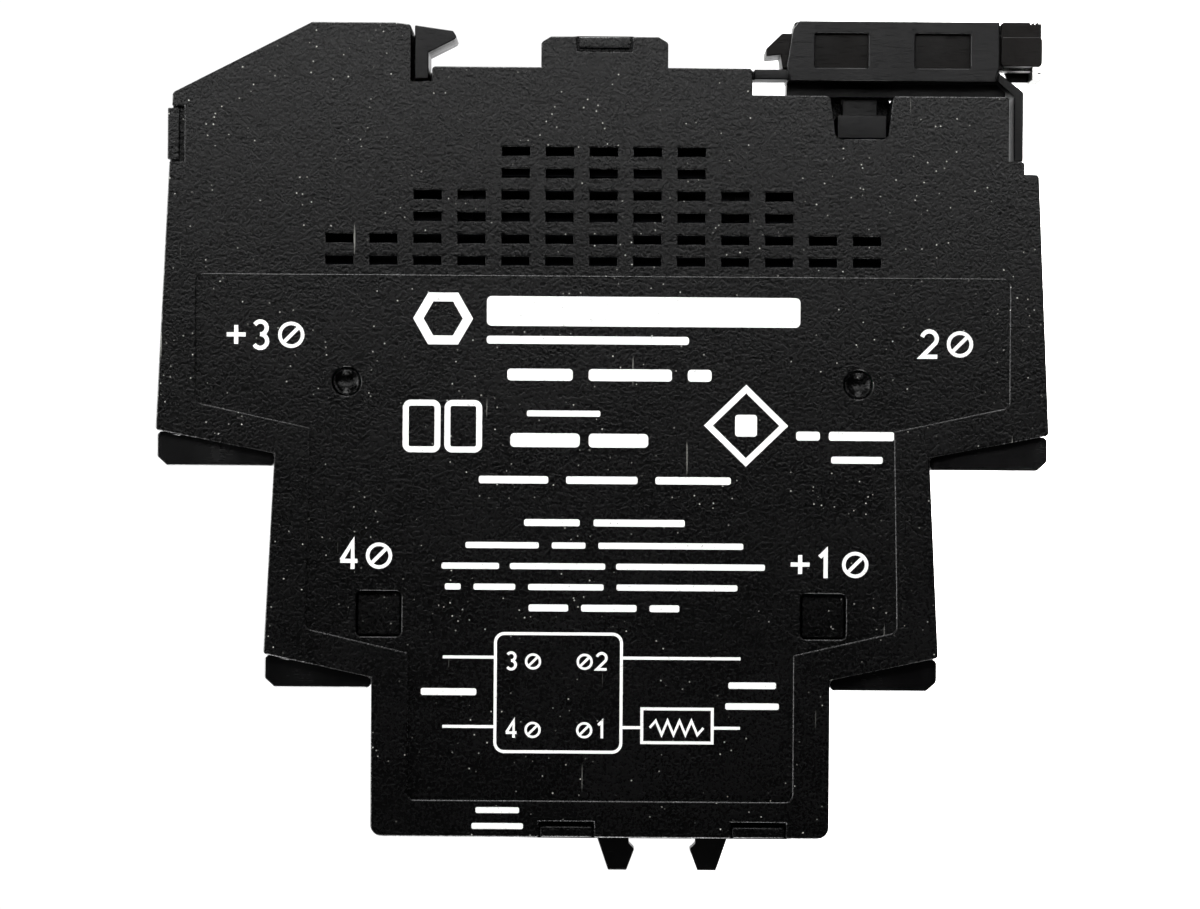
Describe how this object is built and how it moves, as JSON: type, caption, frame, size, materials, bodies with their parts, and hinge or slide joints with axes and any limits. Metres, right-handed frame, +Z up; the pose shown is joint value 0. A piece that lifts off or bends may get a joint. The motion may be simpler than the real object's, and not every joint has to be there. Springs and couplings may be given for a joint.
{
  "type": "solid state relay",
  "caption": "Slim stepped relay housing for a 35 mm top-hat rail, with a sprung rail foot, vents and rising-cage screw terminals on two tiers at each end.",
  "frame": {"origin": "middle of the 35 mm rail, on the plane where the rail's flanges rest, midway between the two side faces", "axes": "+X along the rail, +Y towards the rail and the wall, -Y towards the front, +Z up, from the sprung foot to the fixed claw"},
  "size_m": [0.018, 0.086, 0.09],
  "materials": {
    "housing_plastic": "fine spark-eroded texture",
    "block_plastic": "satin, moulded",
    "fitting_plastic": "smooth",
    "foot_plastic": "smooth, brown-black",
    "print": "white pad print",
    "clear_plastic": "clear moulded",
    "led_epoxy": "tinted epoxy",
    "board": "solder mask",
    "sink_metal": "black anodised",
    "pad": "soft silicone",
    "package": "moulded epoxy",
    "package_white": "moulded epoxy",
    "film_yellow": "moulded case",
    "lacquer_blue": "lacquer",
    "winding": "taped and varnished",
    "zinc_steel": "zinc plated",
    "black_steel": "black zinc plating",
    "tinned_copper": "tinned",
    "spring_steel": "drawn wire"
  },
  "bodies": {
    "housing": {"housing_tray": "housing_plastic", "side_cover": "housing_plastic", "rail_hook": "fitting_plastic", "foot_carrier": "fitting_plastic", "foot_spring": "spring_steel", "marker_holder": "fitting_plastic", "light_guide": "clear_plastic", "status_led": "led_epoxy", "circuit_board": "board", "heat_sink": "sink_metal", "thermal_pads": "pad", "thyristor_upper": "package", "thyristor_lower": "package", "thyristor_screws": "black_steel", "thyristor_nuts": "black_steel", "optocoupler": "package_white", "snubber_capacitor": "film_yellow", "snubber_resistor": "lacquer_blue", "varistor": "lacquer_blue", "input_regulator": "package", "chip_resistors": "package", "gate_transformer": "winding", "terminal_block_a1": "block_plastic", "terminal_block_a2": "block_plastic", "terminal_block_l1": "block_plastic", "terminal_block_t1": "block_plastic", "contact_bar_a1": "tinned_copper", "contact_bar_a2": "tinned_copper", "contact_bar_l1": "tinned_copper", "contact_bar_t1": "tinned_copper"},
    "foot": {"foot_slide": "foot_plastic", "foot_strip": "zinc_steel"},
    "screw_a1": {"clamp_screw_a1": "zinc_steel"},
    "cage_a1": {"clamp_cage_a1": "zinc_steel"},
    "screw_a2": {"clamp_screw_a2": "zinc_steel"},
    "cage_a2": {"clamp_cage_a2": "zinc_steel"},
    "screw_l1": {"clamp_screw_l1": "zinc_steel"},
    "cage_l1": {"clamp_cage_l1": "zinc_steel"},
    "screw_t1": {"clamp_screw_t1": "zinc_steel"},
    "cage_t1": {"clamp_cage_t1": "zinc_steel"}
  },
  "joints": [
    {"name": "foot_pull", "type": "slide", "parent": "housing", "child": "foot", "axis": [0, 0, -1], "range_m": [0, 0.0035], "stiffness_N_per_m": 1500, "springref_m": -0.002, "deforming": ["foot_spring"]},
    {"name": "screw_turn_a1", "type": "hinge", "parent": "housing", "child": "screw_a1", "pos_m": [0, -0.0358, 0.0389], "axis": [0, 1, 0], "range_deg": [0, 2160]},
    {"name": "cage_rise_a1", "type": "slide", "parent": "housing", "child": "cage_a1", "axis": [0, -1, 0], "range_m": [0, 0.0036]},
    {"name": "screw_turn_a2", "type": "hinge", "parent": "housing", "child": "screw_a2", "pos_m": [0, -0.0581, 0.0281], "axis": [0, 1, 0], "range_deg": [0, 2160]},
    {"name": "cage_rise_a2", "type": "slide", "parent": "housing", "child": "cage_a2", "axis": [0, -1, 0], "range_m": [0, 0.0036]},
    {"name": "screw_turn_l1", "type": "hinge", "parent": "housing", "child": "screw_l1", "pos_m": [0, -0.0581, -0.0281], "axis": [0, 1, 0], "range_deg": [0, 2160]},
    {"name": "cage_rise_l1", "type": "slide", "parent": "housing", "child": "cage_l1", "axis": [0, -1, 0], "range_m": [0, 0.0036]},
    {"name": "screw_turn_t1", "type": "hinge", "parent": "housing", "child": "screw_t1", "pos_m": [0, -0.0358, -0.0389], "axis": [0, 1, 0], "range_deg": [0, 2160]},
    {"name": "cage_rise_t1", "type": "slide", "parent": "housing", "child": "cage_t1", "axis": [0, -1, 0], "range_m": [0, 0.0036]}
  ],
  "couplings": [
    {"joint": "screw_turn_a1", "follows": "cage_rise_a1", "rad_per_m": 10472},
    {"joint": "screw_turn_a2", "follows": "cage_rise_a2", "rad_per_m": 10472},
    {"joint": "screw_turn_l1", "follows": "cage_rise_l1", "rad_per_m": 10472},
    {"joint": "screw_turn_t1", "follows": "cage_rise_t1", "rad_per_m": 10472}
  ]
}
